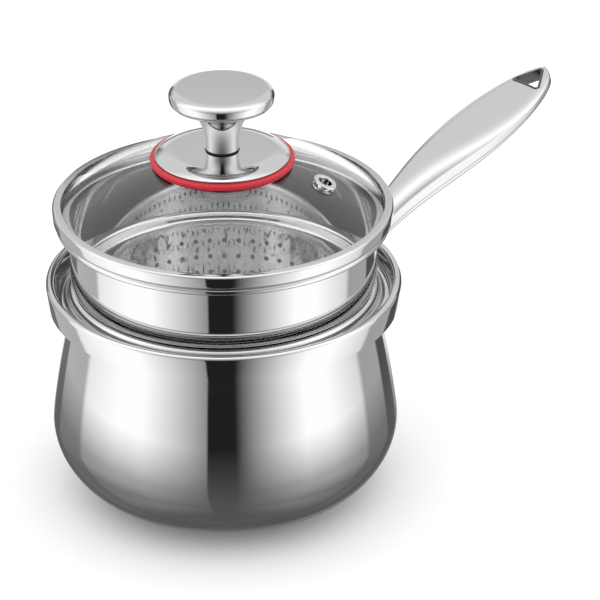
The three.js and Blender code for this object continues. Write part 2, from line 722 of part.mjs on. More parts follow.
// Assembly
const steelFinish = { color: 0xc9cbcc, metalness: 1, roughness: 0.12 };
const satinFinish = { color: 0xc4c5c6, metalness: 1, roughness: 0.32 };
const aluminiumFinish = { color: 0xb4b6b8, metalness: 1, roughness: 0.5 };
const glassFinish = { color: 0xeef4f3, metalness: 0, roughness: 0.05, transparent: true, opacity: 0.3 };
const siliconeFinish = { color: 0xd63a42, metalness: 0, roughness: 0.55 };
const blackFinish = { color: 0x1b1b1c, metalness: 0, roughness: 0.6 };

const steamerPot = new THREE.Group();

function place(name, geometry, finish) {
  const mesh = new THREE.Mesh(geometry, new THREE.MeshStandardMaterial(finish));
  mesh.name = name;
  steamerPot.add(mesh);
}

place('base_cover', baseCover(), steelFinish);
place('base_core_disc', baseCore(), aluminiumFinish);
place('pot_body', potBody(), steelFinish);

const shells = handleShells();
place('handle_bracket', handleBracket(), satinFinish);
place('handle_upper_shell', shells.upper, satinFinish);
place('handle_lower_shell', shells.lower, satinFinish);
place('hang_hole_liner', hangHoleLiner(), satinFinish);

place('steamer_collar', steamerCollar(), steelFinish);
place('steamer_basket', steamerBasket(), steelFinish);

place('lid_rim', lidRim(), steelFinish);
place('lid_glass', lidGlass(), glassFinish);
place('vent_eyelet', ventEyelet(), steelFinish);
place('plate_ring', plateRing(), siliconeFinish);
place('knob_plate', knobPlate(), steelFinish);
place('knob_foot', knobFoot(), steelFinish);
place('knob_spacer', ringed(screwBore, SPACER_RADIUS, spacerZ, spacerZ + SPACER_HEIGHT), blackFinish);
place('knob_head', knobHead(), satinFinish);
place('clamp_plate', ringed(screwBore, CLAMP_RADIUS, clampZ, clampZ + CLAMP_SHEET), steelFinish);
place('screw_washer', ringed(screwBore, WASHER_RADIUS, washerZ, washerZ + WASHER_HEIGHT), steelFinish);
place('knob_screw', knobScrew(), steelFinish);

export default steamerPot;
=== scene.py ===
from math import acos, asin, atan2, cos, degrees, pi, radians, sin, sqrt

import bmesh
import bpy
from mathutils import Matrix, Vector


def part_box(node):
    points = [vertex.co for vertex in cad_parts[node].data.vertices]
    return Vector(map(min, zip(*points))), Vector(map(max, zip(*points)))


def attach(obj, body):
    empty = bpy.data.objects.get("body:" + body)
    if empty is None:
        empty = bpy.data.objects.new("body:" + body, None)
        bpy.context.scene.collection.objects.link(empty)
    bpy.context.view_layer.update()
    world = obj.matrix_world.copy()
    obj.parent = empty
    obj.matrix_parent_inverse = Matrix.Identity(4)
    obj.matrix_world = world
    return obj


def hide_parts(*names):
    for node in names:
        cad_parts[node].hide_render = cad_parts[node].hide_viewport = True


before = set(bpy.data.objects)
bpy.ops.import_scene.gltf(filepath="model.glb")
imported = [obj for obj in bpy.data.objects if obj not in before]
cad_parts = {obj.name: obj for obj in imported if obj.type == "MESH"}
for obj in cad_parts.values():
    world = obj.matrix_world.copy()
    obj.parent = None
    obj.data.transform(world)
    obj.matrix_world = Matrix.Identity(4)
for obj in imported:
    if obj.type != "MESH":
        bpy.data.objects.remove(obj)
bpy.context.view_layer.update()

# Studio picture of a stovetop steamer pot. Lengths are in millimetres until they go into a mesh.
# Every turned piece is revolved again from its section, finely enough for mirror polish.

MM = 0.001
TURN = 224  # steps round a turned piece, four to each column of perforations
SMOOTH_BEND = 9  # steps in a tight bend of the sheet
LONG_BEND = 24  # steps in a long curve
CREASE = radians(34)  # a sharper fold than this stays an edge
LEAST_STEP = 0.01  # points on a line that are closer are one
LEAST_MITRE = 0.3  # cosine that keeps a sharp corner's mitre short
ON_AXIS = 1e-6
MERGE_DISTANCE = 1e-7  # metres
DRILL_REACH = 4  # length of a drill for each unit of what it goes through
INSIDE_LEAN = 0.1  # least lean of an inner face towards the axis
INSIDE_RISE = 0.5  # least upward share of an inner floor

# Gap between pieces that touch
SEAT = 0.3

# Pot, whose floor stands where the frame has it
POT_SHEET = 1.0
POT_FLOOR_Z = (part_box("pot_body")[0] / MM).z
POT_HEIGHT = 127.0
LIP_Z = POT_FLOOR_Z + POT_HEIGHT
LIP_RADIUS = 100.0
LIP_ROLL = 2.0
APRON_HEIGHT = 15.0
APRON_TAPER = 1.4
TROUGH_DEPTH = 12.0
MOUTH_RADIUS = 80.5
MOUTH_ROUND = 3.0
MOUTH_DROP = 3.0
NECK_RADIUS = 84.2
NECK_LEAN = (5.0, -8.8)
BELLY_RADIUS = 98.5
BELLY_HEIGHT = 39.0
BELLY_SHOULDER = 8.8
BELLY_ROUND = 20.0
FLOOR_RADIUS = 64.1
FLOOR_ROUND = 15.8
APRON_Z = LIP_Z - APRON_HEIGHT
CREST = (MOUTH_RADIUS + POT_SHEET / 2 + MOUTH_ROUND, LIP_Z - MOUTH_DROP - POT_SHEET / 2 - MOUTH_ROUND)
MOUTH_BACK = 200  # degrees at which the wall runs into the mouth's roll

# Steamer
STEAMER_SHEET = 0.8
STEAMER_RADIUS = 86.0
STEAMER_RISE = 40.4
STEP_ROUND = 3.5
STEP_RADIUS = STEAMER_RADIUS - STEP_ROUND
LEDGE_RADIUS = 79.0  # where the basket's wall has bent over into the step
BEAD_RADIUS = 93.5
BEAD_ROLL = 1.6
BEAD_TURN = (110, -130)  # degrees between which the bead curls
FLARE_HEIGHT = 6.5
BASKET_DEPTH = 39.1
BASKET_BEND = 2.0
BASKET_TAPER = 3.6
BASKET_CORNER = 4.0
HOLE_RADIUS = 1.4
HOLE_SIDES = 28
HOLE_ROWS = 3
HOLE_COLUMNS = 56
HOLE_FIRST_ROW = 12.6
HOLE_ROW_PITCH = 9.7
FLOOR_RINGS = 2
FLOOR_RING_PITCH = 26.0
FLOOR_RING_HOLES = 6  # added with each ring
SEAT_SPAN = STEP_ROUND + MOUTH_ROUND + POT_SHEET / 2 + SEAT
STEP_Z = CREST[1] + sqrt(SEAT_SPAN ** 2 - (CREST[0] - STEP_RADIUS) ** 2)
SEAT_Z = STEP_Z - STEP_ROUND
BEAD_Z = SEAT_Z + STEAMER_RISE
BASKET_Z = SEAT_Z - BASKET_DEPTH

# Lid
LID_RADIUS = 94.9
LID_SHEET = 0.8
LID_ROLL = 1.2
LID_HEM = 1.8
LID_LIP_WIDTH = 4.7
LID_SKIRT = 6.0
LID_PLAY = 0.4
GLASS_THICKNESS = 4.0
GLASS_DOME = 148.0
GLASS_EDGE_PLAY = 0.7
GLASS_SHOULDER = 37.0  # where the dome turns down to the plate's seat
GLASS_BORE = 4.0
GLASS_STEPS = 40
GLASS_TURN_STEPS = 16
GLASS_SEAT_BEND = 5.0
GLASS_SHOULDER_BEND = 4.0
GLASS_SHOULDER_RISE = 0.2
VENT_FLANGE = 6.8
VENT_BORE = 3.65
VENT_WALL = 0.7
VENT_LIP = 0.1  # by which its inner edge stands over the outer one
VENT_STEPS = 72
VENT_DRILL_STEPS = 48
VENT_OFFSET = 58.3
VENT_BEARING = radians(-57)
SHELF_Z = BEAD_Z + SEAT
GLASS_RADIUS = LID_RADIUS - LID_SHEET - GLASS_EDGE_PLAY
DOME_Z = SHELF_Z + LID_SHEET + SEAT - (GLASS_DOME - GLASS_THICKNESS) * cos(asin(GLASS_RADIUS / GLASS_DOME))
LID_LIP_RADIUS = LID_RADIUS - LID_LIP_WIDTH


def dome_top(radius):
    return DOME_Z + sqrt(GLASS_DOME ** 2 - radius ** 2)


LID_TOP_Z = dome_top(LID_LIP_RADIUS) + SEAT + LID_SHEET

# Knob
RING_RADIUS = 40.0
RING_HEIGHT = 2.7
RING_ROUND = 1.0
PLATE_RADIUS = 37.5
PLATE_SHEET = 0.8
PLATE_DISH = 9.1
PLATE_FLAT = 22.0
PLATE_EDGE = 3.0
PLATE_BEND = 2.0
PLATE_HEM_END = 45  # degrees at which the plate's hem runs into its cover
COVER_FLAT = 26.0  # radius at which the plate's cover starts to round over
COVER_ROUND = 21.0
FOOT_RADIUS = 20.6
FOOT_HEIGHT = 10.4
FOOT_EDGE = 0.7
FOOT_THROAT_RADIUS = 9.4
FOOT_THROAT_HEIGHT = 1.3
FOOT_STEM = 5.9
STEM_RADIUS = 9.2
SPACER_RADIUS = 9.3
SPACER_HEIGHT = 1.4
KNOB_RADIUS = 29.15
KNOB_FACE_RADIUS = 24.0
KNOB_HEIGHT = 35.6
KNOB_CROWN = 3.7
KNOB_RIM = 5.8
KNOB_UNDER_RADIUS = 24.0
KNOB_STEM = 14.0
KNOB_THROAT_RADIUS = 14.5
KNOB_THROAT_HEIGHT = 24.0
KNOB_STEM_STEPS = 32
KNOB_EDGE_STEPS = 20
SCREW_BORE = 2.8
SCREW_BITE = 16.0
RING_UNDER_Z = dome_top(GLASS_SHOULDER) + SEAT
RING_TOP_Z = RING_UNDER_Z + RING_HEIGHT
PLATE_Z = RING_TOP_Z + SEAT - PLATE_DISH
FOOT_Z = PLATE_Z + PLATE_SHEET + SEAT
SPACER_Z = FOOT_Z + FOOT_HEIGHT + SEAT
KNOB_Z = SPACER_Z + SPACER_HEIGHT + SEAT

# Handle
HANDLE_SHEET = 1.0
HANDLE_LENGTH = 185.5
HANDLE_ROOT_DROP = 11.4
HANDLE_ROOT_Z = APRON_Z - HANDLE_ROOT_DROP
HANDLE_ROOT_REACH = 3.5
HANDLE_ROOT_PITCH = 31.6
HANDLE_END_PITCH = 19.75
HANDLE_BEND = 108.0
HANDLE_NECK = 22.0
HANDLE_ROOT_WIDTH = 16.0
HANDLE_WIDTH = 39.3
HANDLE_TIP = 59.8
HANDLE_ROOT_THICKNESS = 9.6
HANDLE_THICKNESS = 16.0
HANDLE_THICKEST = 83.5
HANDLE_END_THICKNESS = 7.2
HANDLE_SEAM = 0.33
HANDLE_STEPS = 48  # half round a section
HANDLE_STATIONS = 48
TIP_STATIONS = 40
STATION_GAP = (0.5, 0.005)  # least distance to the first and last section
TIP_FLAT = 0.02  # left off the very end
TIP_WALL = 4.0
HANDLE_SIDE = 0.26  # share of the thickness that stands upright above the seam
HANDLE_SQUARENESS = 0.85
BELLY_SQUARENESS = 0.5
SADDLE_SHEET = 1.5
SADDLE_GAP = POT_SHEET / 2 + SEAT
HANG_HOLE_ROUND = 2.5
HANG_HOLE_LENGTH = 12.5
HANG_HOLE_WIDTH = 16.0
HANG_HOLE_FROM_TIP = 17.5
HANG_HOLE_STEPS = 12
LINER_WALL = 1.0
LINER_PROUD = 0.4

# The photograph's camera, fitted to the pot's rim, lid and base
CAMERA_FOCAL_PX = 3091.3
PHOTO_PX = 600
SENSOR = 36.0
CAMERA_BEARING = radians(43)  # between its level view direction and +Y, towards +X
CAMERA_PITCH = radians(27.265)
CAMERA_RIGHT = 42.8
CAMERA_BACK = 1551.9
CAMERA_ABOVE_LIP = 783.4
CAMERA_CLIP = 20.0  # metres


# Meshes
def arc(centre, radius, start, end, steps=SMOOTH_BEND):
    angles = [radians(start + (end - start) * i / steps) for i in range(steps + 1)]
    return [(centre[0] + radius * cos(a), centre[1] + radius * sin(a)) for a in angles]


def bend(start, start_control, end_control, end, steps=LONG_BEND):
    points = []
    for i in range(steps + 1):
        t = i / steps
        u = 1 - t
        weights = (u ** 3, 3 * u * u * t, 3 * u * t * t, t ** 3)
        corners = (start, start_control, end_control, end)
        points.append(tuple(sum(w * c[k] for w, c in zip(weights, corners)) for k in (0, 1)))
    return points


def without_repeats(line):
    kept = [line[0]]
    for point in line[1:]:
        if (Vector(point) - Vector(kept[-1])).length > LEAST_STEP:
            kept.append(point)
    return kept


def beside(line, distance):
    """One side of a sheet: its middle line moved sideways, with mitred corners."""
    moved = []
    for i, point in enumerate(line):
        into = (Vector(point) - Vector(line[max(i - 1, 0)])).normalized()
        out = (Vector(line[min(i + 1, len(line) - 1)]) - Vector(point)).normalized()
        into = out if i == 0 else into
        out = into if i == len(line) - 1 else out
        side = (into + out).normalized()
        reach = distance / max(side.dot(out), LEAST_MITRE)
        x = 0.0 if point[0] == 0 else point[0] - side.y * reach
        moved.append((x, point[1] + side.x * reach))
    return moved


def sheet(middle_line, thickness):
    """Closed section of a sheet along its middle line."""
    line = without_repeats(middle_line)
    one_side = beside(line, thickness / 2)
    other_side = beside(line, -thickness / 2)
    return one_side + other_side[::-1]


def mesh_object(name, points, faces):
    mesh = bpy.data.meshes.new(name)
    mesh.from_pydata([Vector(p) * MM for p in points], [], faces)
    shaped = bmesh.new()
    shaped.from_mesh(mesh)
    bmesh.ops.remove_doubles(shaped, verts=shaped.verts, dist=MERGE_DISTANCE)
    bmesh.ops.recalc_face_normals(shaped, faces=shaped.faces)
    shaped.to_mesh(mesh)
    shaped.free()
    made = bpy.data.objects.new(name, mesh)
    bpy.context.scene.collection.objects.link(made)
    return soften(made)


def soften(made):
    made.data.polygons.foreach_set("use_smooth", [True] * len(made.data.polygons))
    made.data.set_sharp_from_angle(angle=CREASE)
    return made


def turned(name, section, steps=TURN):
    """Revolves a section (radius, height); one that leaves the axis comes back to itself."""
    points, rings = [], []
    for radius, height in section:
        count = 1 if radius < ON_AXIS else steps
        rings.append(range(len(points), len(points) + count))
        for i in range(count):
            a = 2 * pi * i / steps
            points.append((radius * cos(a), radius * sin(a), height))
    closed = len(rings[0]) > 1
    pairs = list(zip(rings, rings[1:])) + ([(rings[-1], rings[0])] if closed else [])
    faces = []
    for low, high in pairs:
        for i in range(steps):
            k = i + 1
            corners = [low[i % len(low)], low[k % len(low)], high[k % len(high)], high[i % len(high)]]
            kept = list(dict.fromkeys(corners))
            if len(kept) > 2:
                faces.append(kept)
    return mesh_object(name, points, faces)


def lofted(name, sections):
    """Joins closed rings of points in space, with flat ends."""
    count = len(sections[0])
    points = [p for section in sections for p in section]
    faces = [list(range(count))[::-1], list(range(len(points) - count, len(points)))]
    for i in range(len(sections) - 1):
        for j in range(count):
            k = (j + 1) % count
            faces.append([i * count + j, i * count + k, (i + 1) * count + k, (i + 1) * count + j])
    return mesh_object(name, points, faces)


def settled(made):
    """The evaluated result as a plain mesh, with its modifiers gone."""
    bpy.context.view_layer.update()
    mesh = bpy.data.meshes.new_from_object(made.evaluated_get(bpy.context.evaluated_depsgraph_get()))
    made.modifiers.clear()
    made.data = mesh
    return soften(made)


def cut(made, *tools, operation="DIFFERENCE"):
    for tool in tools:
        modifier = made.modifiers.new("cut", "BOOLEAN")
        modifier.operation = operation
        modifier.solver = "EXACT"
        modifier.object = tool
    settled(made)
    return made


def remove(*tools):
    for tool in tools:
        bpy.data.objects.remove(tool)


# Materials
def linear(code):
    """sRGB hex to linear RGBA."""
    parts = [int(code[i:i + 2], 16) / 255 for i in (1, 3, 5)]
    return tuple(c / 12.92 if c <= 0.04045 else ((c + 0.055) / 1.055) ** 2.4 for c in parts) + (1.0,)


def add(tree, kind, settings=None, **inputs):
    """Adds a node, sets its properties, and sets or links its inputs by name or place.

    A node that is given as an input stands for its first output.
    """
    node = tree.nodes.new(kind)
    for key, value in (settings or {}).items():
        setattr(node, key, value)
    for key, value in inputs.items():
        by_place = key[0] == "_" and key[1:].isdigit()
        socket = node.inputs[int(key[1:]) if by_place else key.replace("_", " ")]
        if isinstance(value, bpy.types.Node):
            value = value.outputs[0]
        if isinstance(value, bpy.types.NodeSocket):
            tree.links.new(value, socket)
        else:
            socket.default_value = value
    return node


def new_material(name):
    material = bpy.data.materials.new(name)
    material.use_nodes = True
    material.node_tree.nodes.clear()
    return material, material.node_tree


def finish_material(tree, shader):
    add(tree, "ShaderNodeOutputMaterial", Surface=shader)


HAZE_MM = 22.0  # between the duller spots that a polishing wheel leaves
NOISE_SPAN = (0.3, 0.7)  # between which most of a noise lies
MARK_STRENGTH = 0.2
SMEAR_MM = 40.0  # between the traces of wiping on glass
SMEAR_ROUGHNESS = 0.004
GLASS_IOR = 1.5
GRAIN_MM = 0.8
GRAIN_DEPTH = 0.05
GRAIN_STRENGTH = 0.25
CLOUD_MM = 9.0  # between lighter and darker places in the silicone
SILICONE_ROUGHNESS = 0.42
SILICONE_IOR = 1.41


def grit(tree, spacing_mm, stretch=(1, 1, 1), detail=2.0):
    """Noise on the piece's own coordinates, with marks about this far apart."""
    place = add(tree, "ShaderNodeTexCoord")
    stretched = add(tree, "ShaderNodeMapping", Vector=place.outputs["Object"], Scale=stretch)
    return add(tree, "ShaderNodeTexNoise", Vector=stretched, Scale=1 / (spacing_mm * MM), Detail=detail)


def steel(name, colour, roughness, spread, mark_mm, stretch, depth):
    """Stainless sheet: a neutral mirror whose buffing leaves faint haze and fine lines.

    The real lines are a few hundredths of a millimetre apart, so they are drawn coarser to show at all.
    """
    material, tree = new_material(name)
    marks = grit(tree, mark_mm, stretch)
    haze = grit(tree, HAZE_MM)
    rough = add(tree, "ShaderNodeMapRange", Value=haze.outputs["Fac"], From_Min=NOISE_SPAN[0],
                From_Max=NOISE_SPAN[1], To_Min=roughness, To_Max=roughness + spread)
    bump = add(tree, "ShaderNodeBump", Strength=MARK_STRENGTH, Distance=depth * MM,
               Height=marks.outputs["Fac"])
    shader = add(tree, "ShaderNodeBsdfPrincipled", Base_Color=linear(colour), Metallic=1.0, Roughness=rough,
                 Normal=bump)
    finish_material(tree, shader)
    return material


def tempered_glass():
    """Clear soda-lime glass, pressed and fire polished: hard reflections and almost no tint.

    Traces of wiping blunt the reflections here and there, too little to cloud the view inside.
    """
    material, tree = new_material("tempered_glass")
    smear = grit(tree, SMEAR_MM)
    rough = add(tree, "ShaderNodeMapRange", Value=smear.outputs["Fac"], To_Min=0.0, To_Max=SMEAR_ROUGHNESS)
    shader = add(tree, "ShaderNodeBsdfPrincipled", Base_Color=linear("#fcfdfd"), Roughness=rough,
                 IOR=GLASS_IOR, Transmission_Weight=1.0)
    finish_material(tree, shader)
    return material


def silicone(name, colour, shade):
    """Moulded silicone: matt, with a soft sheen and a fine spark-eroded grain.

    The real grain is about a tenth as wide, so it is drawn coarser to show at all.
    """
    material, tree = new_material(name)
    grain = grit(tree, GRAIN_MM)
    cloud = grit(tree, CLOUD_MM)
    tint = add(tree, "ShaderNodeMixRGB", Fac=cloud.outputs["Fac"], Color1=linear(colour),
               Color2=linear(shade))
    bump = add(tree, "ShaderNodeBump", Strength=GRAIN_STRENGTH, Distance=GRAIN_DEPTH * MM,
               Height=grain.outputs["Fac"])
    shader = add(tree, "ShaderNodeBsdfPrincipled", Base_Color=tint, Roughness=SILICONE_ROUGHNESS,
                 IOR=SILICONE_IOR, Normal=bump)
    finish_material(tree, shader)
    return material


# Name, colour, roughness and its spread, spacing and stretch of the marks, and their depth in millimetres.
# Outsides buffed to a mirror: clear reflections with a breath of haze.
MIRROR_STEEL = steel("mirror_buffed_stainless", "#d4d4d5", 0.02, 0.03, 0.6, (1, 1, 6), 0.0008)
# The steamer's inside: reflections drawn out upright by shallow marks.
INSIDE_STEEL = steel("inside_buffed_stainless", "#d2d2d3", 0.025, 0.02, 2.5, (1, 1, 0.06), 0.0002)
# The handle, brushed along its length: soft broad highlights.
SATIN_STEEL = steel("satin_brushed_stainless", "#d3d3d4", 0.16, 0.06, 0.5, (0.05, 1, 1), 0.005)
# The base's core: a dull grey edge.
CORE_ALUMINIUM = steel("rolled_aluminium", "#b8babc", 0.4, 0.15, 0.5, (0.1, 1, 1), 0.02)
# The hang hole's lining: a matt ring of the handle's steel, painted dark grey as shade inside the hole.
HOLE_SHADE_STEEL = steel("dull_stainless", "#6f7072", 0.3, 0.06, 0.5, (1, 1, 1), 0.004)
GLASS = tempered_glass()
RED_SILICONE = silicone("red_silicone", "#c6303a", "#bd2a34")
BLACK_SILICONE = silicone("black_silicone", "#161617", "#1f1f20")


def fit(made, body, material, slot, *nodes):
    """Gives a finished piece its finish and its body, and hides the CAD nodes that it stands for."""
    made.data.materials.clear()
    made.data.materials.append(material)
    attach(made, body)
    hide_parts(*nodes)
    return made


def line_inside(made, material, top):
    """Second finish on the faces under a height that look at the axis or up: the inside of a vessel."""
    made.data.materials.append(material)
    for face in made.data.polygons:
        outward = Vector((face.center.x, face.center.y, 0)).normalized()
        looks_in = face.normal.dot(outward) < -INSIDE_LEAN or face.normal.z > INSIDE_RISE
        if face.center.z < top * MM and looks_in:
            face.material_index = 1


# Pot
def pot_belly():
    return BELLY_RADIUS - POT_SHEET / 2, POT_FLOOR_Z + BELLY_HEIGHT


def lower_wall():
    floor = (FLOOR_RADIUS, POT_FLOOR_Z + POT_SHEET / 2)
    belly = pot_belly()
    return bend(floor, (floor[0] + FLOOR_ROUND, floor[1]), (belly[0], belly[1] - BELLY_ROUND), belly)


def upper_wall():
    belly = pot_belly()
    neck = (NECK_RADIUS - POT_SHEET / 2, APRON_Z)
    lean = (neck[0] + NECK_LEAN[0], neck[1] + NECK_LEAN[1])
    return bend(belly, (belly[0], belly[1] + BELLY_SHOULDER), lean, neck)


def make_pot():
    """One sheet from the floor's middle over the mouth, the gutter and the lip to the apron."""
    half = POT_SHEET / 2
    roll = (LIP_RADIUS - half - LIP_ROLL, LIP_Z - half - LIP_ROLL)
    near, far = CREST[0] + MOUTH_ROUND, roll[0] - LIP_ROLL
    trough = ((near + far) / 2, LIP_Z - TROUGH_DEPTH + (far - near) / 2)
    line = [(0, POT_FLOOR_Z + half), *lower_wall(), *upper_wall(), *arc(CREST, MOUTH_ROUND, MOUTH_BACK, 0),
            *arc(trough, (far - near) / 2, 180, 360), *arc(roll, LIP_ROLL, 180, 0),
            (LIP_RADIUS - half - APRON_TAPER, APRON_Z)]
    fit(turned("pot_wall", sheet(line, POT_SHEET)), "pot", MIRROR_STEEL, "polished_steel", "pot_body")


# Steamer
def basket_radius(depth):
    return LEDGE_RADIUS - BASKET_BEND - BASKET_TAPER * depth / BASKET_DEPTH


def steamer_blank():
    """The sheet before it is drilled: floor, basket, step, wall, flare and bead."""
    half = STEAMER_SHEET / 2
    corner = (basket_radius(BASKET_DEPTH) - BASKET_CORNER, BASKET_Z + half + BASKET_CORNER)
    wall = STEAMER_RADIUS - half
    bead = (BEAD_RADIUS - half - BEAD_ROLL, BEAD_Z - half - BEAD_ROLL)
    curl = arc(bead, BEAD_ROLL, *BEAD_TURN, 2 * SMOOTH_BEND)
    flare = bend((wall, BEAD_Z - FLARE_HEIGHT), (wall, bead[1]),
                 (bead[0] - 2 * BEAD_ROLL, bead[1] + BEAD_ROLL / 2), curl[0])
    line = [(0, BASKET_Z + half), *arc(corner, BASKET_CORNER, -90, 0),
            *arc((LEDGE_RADIUS, SEAT_Z + half - BASKET_BEND), BASKET_BEND, 180, 90),
            *arc((STEP_RADIUS, STEP_Z), STEP_ROUND - half, -90, 0), *flare, *curl]
    return turned("steamer_wall", sheet(line, STEAMER_SHEET))


def hole_pattern():
    """Node tree that sets drills in rows round the axis, each row a step down from the one before."""
    tree = bpy.data.node_groups.new("perforations", "GeometryNodeTree")
    fields = [("Columns", "Int"), ("Rows", "Int"), ("Ring Radius", "Float"), ("Radius Step", "Float"),
              ("Height", "Float"), ("Height Step", "Float"), ("Tilt", "Float"), ("Drill Radius", "Float"),
              ("Drill Length", "Float"), ("Finish", "Material")]
    for name, kind in fields:
        tree.interface.new_socket(name, in_out="INPUT", socket_type="NodeSocket" + kind)
    tree.interface.new_socket("Geometry", in_out="OUTPUT", socket_type="NodeSocketGeometry")
    given = add(tree, "NodeGroupInput").outputs
    index = add(tree, "GeometryNodeInputIndex")
    middle = add(tree, "ShaderNodeMath", {"operation": "ADD"}, _0=index, _1=0.5)
    turns = add(tree, "ShaderNodeMath", {"operation": "DIVIDE"}, _0=middle, _1=given["Columns"])
    row = add(tree, "ShaderNodeMath", {"operation": "FLOOR"}, _0=turns)
    angle = add(tree, "ShaderNodeMath", {"operation": "MULTIPLY"}, _0=turns, _1=2 * pi)
    inwards = add(tree, "ShaderNodeMath", {"operation": "MULTIPLY"}, _0=row, _1=given["Radius Step"])
    radius = add(tree, "ShaderNodeMath", {"operation": "ADD"}, _0=given["Ring Radius"], _1=inwards)
    down = add(tree, "ShaderNodeMath", {"operation": "MULTIPLY"}, _0=row, _1=given["Height Step"])
    height = add(tree, "ShaderNodeMath", {"operation": "ADD"}, _0=given["Height"], _1=down)
    cosine = add(tree, "ShaderNodeMath", {"operation": "COSINE"}, _0=angle)
    sine = add(tree, "ShaderNodeMath", {"operation": "SINE"}, _0=angle)
    x = add(tree, "ShaderNodeMath", {"operation": "MULTIPLY"}, _0=radius, _1=cosine)
    y = add(tree, "ShaderNodeMath", {"operation": "MULTIPLY"}, _0=radius, _1=sine)
    place = add(tree, "ShaderNodeCombineXYZ", X=x, Y=y, Z=height)
    turn = add(tree, "ShaderNodeCombineXYZ", Y=given["Tilt"], Z=angle)
    drill = add(tree, "GeometryNodeMeshCylinder", Vertices=HOLE_SIDES, Radius=given["Drill Radius"],
                Depth=given["Drill Length"])
    count = add(tree, "ShaderNodeMath", {"operation": "MULTIPLY"}, _0=given["Columns"], _1=given["Rows"])
    points = add(tree, "GeometryNodePoints", Count=count, Position=place)
    copies = add(tree, "GeometryNodeInstanceOnPoints", Points=points, Instance=drill.outputs["Mesh"],
                 Rotation=turn)
    real = add(tree, "GeometryNodeRealizeInstances", Geometry=copies)
    painted = add(tree, "GeometryNodeSetMaterial", Geometry=real, Material=given["Finish"])
    add(tree, "NodeGroupOutput", Geometry=painted)
    return tree


def drilled(tree, **values):
    """A cutter made by the pattern, with its inputs given by name and lengths in metres."""
    made = bpy.data.objects.new("drills", bpy.data.meshes.new("drills"))
    bpy.context.scene.collection.objects.link(made)
    modifier = made.modifiers.new("pattern", "NODES")
    modifier.node_group = tree
    for item in tree.interface.items_tree:
        key = item.name.replace(" ", "_")
        if item.in_out == "INPUT" and key in values:
            modifier[item.identifier] = values[key]
    return settled(made)


def make_steamer():
    """One drawn piece with rows of holes in its basket and rings of them in its floor."""
    tree = hole_pattern()
    common = {"Drill_Radius": HOLE_RADIUS * MM, "Finish": MIRROR_STEEL}
    drills = [drilled(tree, Columns=HOLE_COLUMNS, Rows=HOLE_ROWS,
                      Ring_Radius=basket_radius(HOLE_FIRST_ROW) * MM,
                      Radius_Step=-BASKET_TAPER * HOLE_ROW_PITCH / BASKET_DEPTH * MM,
                      Height=(SEAT_Z - HOLE_FIRST_ROW) * MM, Height_Step=-HOLE_ROW_PITCH * MM, Tilt=pi / 2,
                      Drill_Length=DRILL_REACH * BASKET_BEND * MM, **common)]
    for ring in range(FLOOR_RINGS + 1):
        drills.append(drilled(tree, Columns=max(ring * FLOOR_RING_HOLES, 1), Rows=1,
                              Ring_Radius=ring * FLOOR_RING_PITCH * MM, Radius_Step=0.0,
                              Height=(BASKET_Z + STEAMER_SHEET / 2) * MM, Height_Step=0.0, Tilt=0.0,
                              Drill_Length=DRILL_REACH * STEAMER_SHEET * MM, **common))
    blank = cut(steamer_blank(), *drills)
    remove(*drills)
    fit(blank, "steamer", MIRROR_STEEL, "polished_steel", "steamer_collar", "steamer_basket")
    line_inside(blank, INSIDE_STEEL, BEAD_Z - FLARE_HEIGHT)


# Handle
ACROSS = Vector((0, 1, 0))


def ease(value, low, high):
    share = min(max((value - low) / (high - low), 0.0), 1.0)
    return share * share * (3 - 2 * share)


def handle_pitch(distance):
    share = ease(distance, 0, HANDLE_BEND)
    return radians(HANDLE_ROOT_PITCH + (HANDLE_END_PITCH - HANDLE_ROOT_PITCH) * share)


def handle_root():
    wall = upper_wall()
    i = next(k for k in range(1, len(wall)) if wall[k][1] > HANDLE_ROOT_Z)
    (r0, z0), (r1, z1) = wall[i - 1], wall[i]
    reach = SADDLE_GAP + SADDLE_SHEET + HANDLE_ROOT_REACH
    return r0 + (r1 - r0) * (HANDLE_ROOT_Z - z0) / (z1 - z0) + reach


def handle_place(distance):
    """Frame on the centre line: up, along, and the point itself. Across is +Y everywhere."""
    count = int(abs(distance)) + 2
    step = distance / count
    x, z = handle_root(), HANDLE_ROOT_Z
    for i in range(count):
        pitch = handle_pitch((i + 0.5) * step)
        x += step * cos(pitch)
        z += step * sin(pitch)
    pitch = handle_pitch(distance)
    up = Vector((-sin(pitch), 0, cos(pitch)))
    along = Vector((cos(pitch), 0, sin(pitch)))
    return up, along, Vector((x, 0, z))


def handle_half_width(distance):
    taper_end = HANDLE_LENGTH - HANDLE_TIP
    if distance > taper_end:
        return HANDLE_WIDTH / 2 * sqrt(max(1 - ((distance - taper_end) / HANDLE_TIP) ** 2, 0))
    share = ease(distance, HANDLE_NECK, taper_end)
    return (HANDLE_ROOT_WIDTH + (HANDLE_WIDTH - HANDLE_ROOT_WIDTH) * share) / 2


def handle_thickness(distance):
    if distance > HANDLE_THICKEST:
        share = ease(distance, HANDLE_THICKEST, HANDLE_LENGTH)
        return HANDLE_THICKNESS + (HANDLE_END_THICKNESS - HANDLE_THICKNESS) * share
    share = ease(distance, 0, HANDLE_THICKEST)
    return HANDLE_ROOT_THICKNESS + (HANDLE_THICKNESS - HANDLE_ROOT_THICKNESS) * share


def squared(value, squareness=HANDLE_SQUARENESS):
    """Pushes a cosine or sine outwards, which squares the curve that it draws."""
    return (1 if value > 0 else -1) * abs(value) ** squareness


